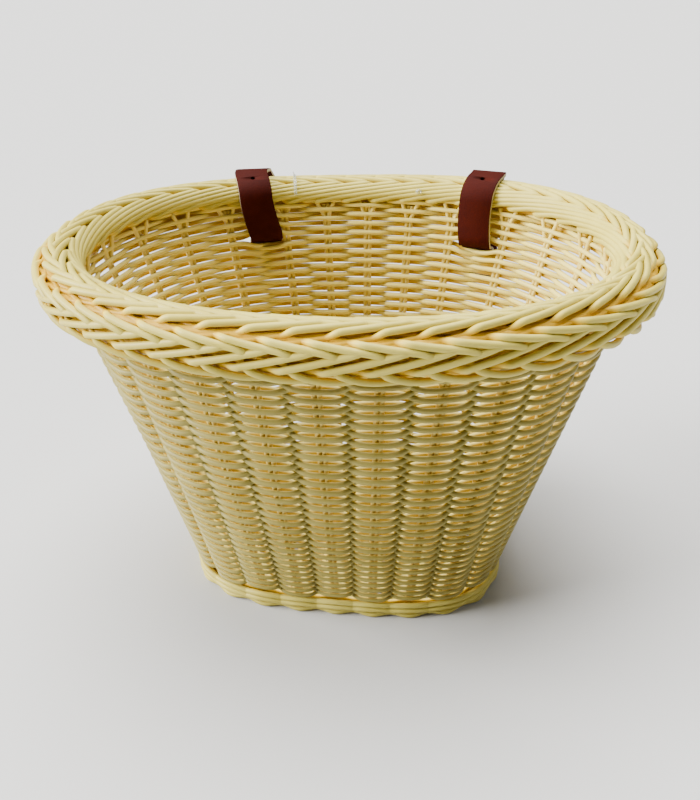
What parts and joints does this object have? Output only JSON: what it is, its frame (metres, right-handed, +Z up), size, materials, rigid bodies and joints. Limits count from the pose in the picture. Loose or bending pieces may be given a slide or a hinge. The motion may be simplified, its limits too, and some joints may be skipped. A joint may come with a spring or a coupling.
{
  "type": "handlebar basket",
  "caption": "Oval tapered woven basket with a thick plaited rim, hung from a handlebar by buckled leather straps over its back rim.",
  "frame": {"origin": "on the surface the basket stands on, under the middle of the whole part with its straps", "axes": "+Z up, -Y is the front away from the rider, +Y the back where the straps hold the handlebar, X along the handlebar"},
  "size_m": [0.35, 0.2784, 0.2241],
  "materials": {
    "cream_weave": "satin moulded strand",
    "stake_strand": "satin moulded strand",
    "strap_leather": "smooth semi-gloss face, raw cut edge",
    "buckle_metal": "antique polished",
    "rivet_metal": "polished"
  },
  "bodies": {
    "root": {"wall_weave": "cream_weave", "base_weave": "cream_weave", "foot_border": "cream_weave", "rim_braid": "cream_weave", "stake_pair_01": "stake_strand", "stake_pair_02": "stake_strand", "stake_pair_03": "stake_strand", "stake_pair_04": "stake_strand", "stake_pair_05": "stake_strand", "stake_pair_06": "stake_strand", "stake_pair_07": "stake_strand", "stake_pair_08": "stake_strand", "stake_pair_09": "stake_strand", "stake_pair_10": "stake_strand", "stake_pair_11": "stake_strand", "stake_pair_12": "stake_strand", "stake_pair_13": "stake_strand", "stake_pair_14": "stake_strand", "stake_pair_15": "stake_strand", "stake_pair_16": "stake_strand", "stake_pair_17": "stake_strand", "stake_pair_18": "stake_strand", "stake_pair_19": "stake_strand", "stake_pair_20": "stake_strand", "stake_pair_21": "stake_strand", "stake_pair_22": "stake_strand", "stake_pair_23": "stake_strand", "stake_pair_24": "stake_strand", "stake_pair_25": "stake_strand", "stake_pair_26": "stake_strand", "strap_left": "strap_leather", "fold_rivets_left": "rivet_metal", "strap_right": "strap_leather", "fold_rivets_right": "rivet_metal"},
    "buckle_frame_left": {"buckle_frame_left": "buckle_metal"},
    "buckle_prong_left": {"buckle_prong_left": "buckle_metal"},
    "strap_keeper_left": {"strap_keeper_left": "strap_leather"},
    "buckle_frame_right": {"buckle_frame_right": "buckle_metal"},
    "buckle_prong_right": {"buckle_prong_right": "buckle_metal"},
    "strap_keeper_right": {"strap_keeper_right": "strap_leather"}
  },
  "joints": [
    {"name": "buckle_frame_tilt_left", "type": "hinge", "parent": "root", "child": "buckle_frame_left", "pos_m": [-0.07911, 0.1228, 0.18082], "axis": [-1, 0, 0], "range_deg": [0, 15]},
    {"name": "buckle_prong_lift_left", "type": "hinge", "parent": "buckle_frame_left", "child": "buckle_prong_left", "pos_m": [-0.07911, 0.1228, 0.18082], "axis": [-1, 0, 0], "range_deg": [0, 30]},
    {"name": "keeper_slide_left", "type": "slide", "parent": "root", "child": "strap_keeper_left", "axis": [0, 0.2756, -0.9613], "range_m": [0, 0.004]},
    {"name": "buckle_frame_tilt_right", "type": "hinge", "parent": "root", "child": "buckle_frame_right", "pos_m": [0.07911, 0.1228, 0.18082], "axis": [-1, 0, 0], "range_deg": [0, 15]},
    {"name": "buckle_prong_lift_right", "type": "hinge", "parent": "buckle_frame_right", "child": "buckle_prong_right", "pos_m": [0.07911, 0.1228, 0.18082], "axis": [-1, 0, 0], "range_deg": [0, 30]},
    {"name": "keeper_slide_right", "type": "slide", "parent": "root", "child": "strap_keeper_right", "axis": [0, 0.2756, -0.9613], "range_m": [0, 0.004]}
  ]
}
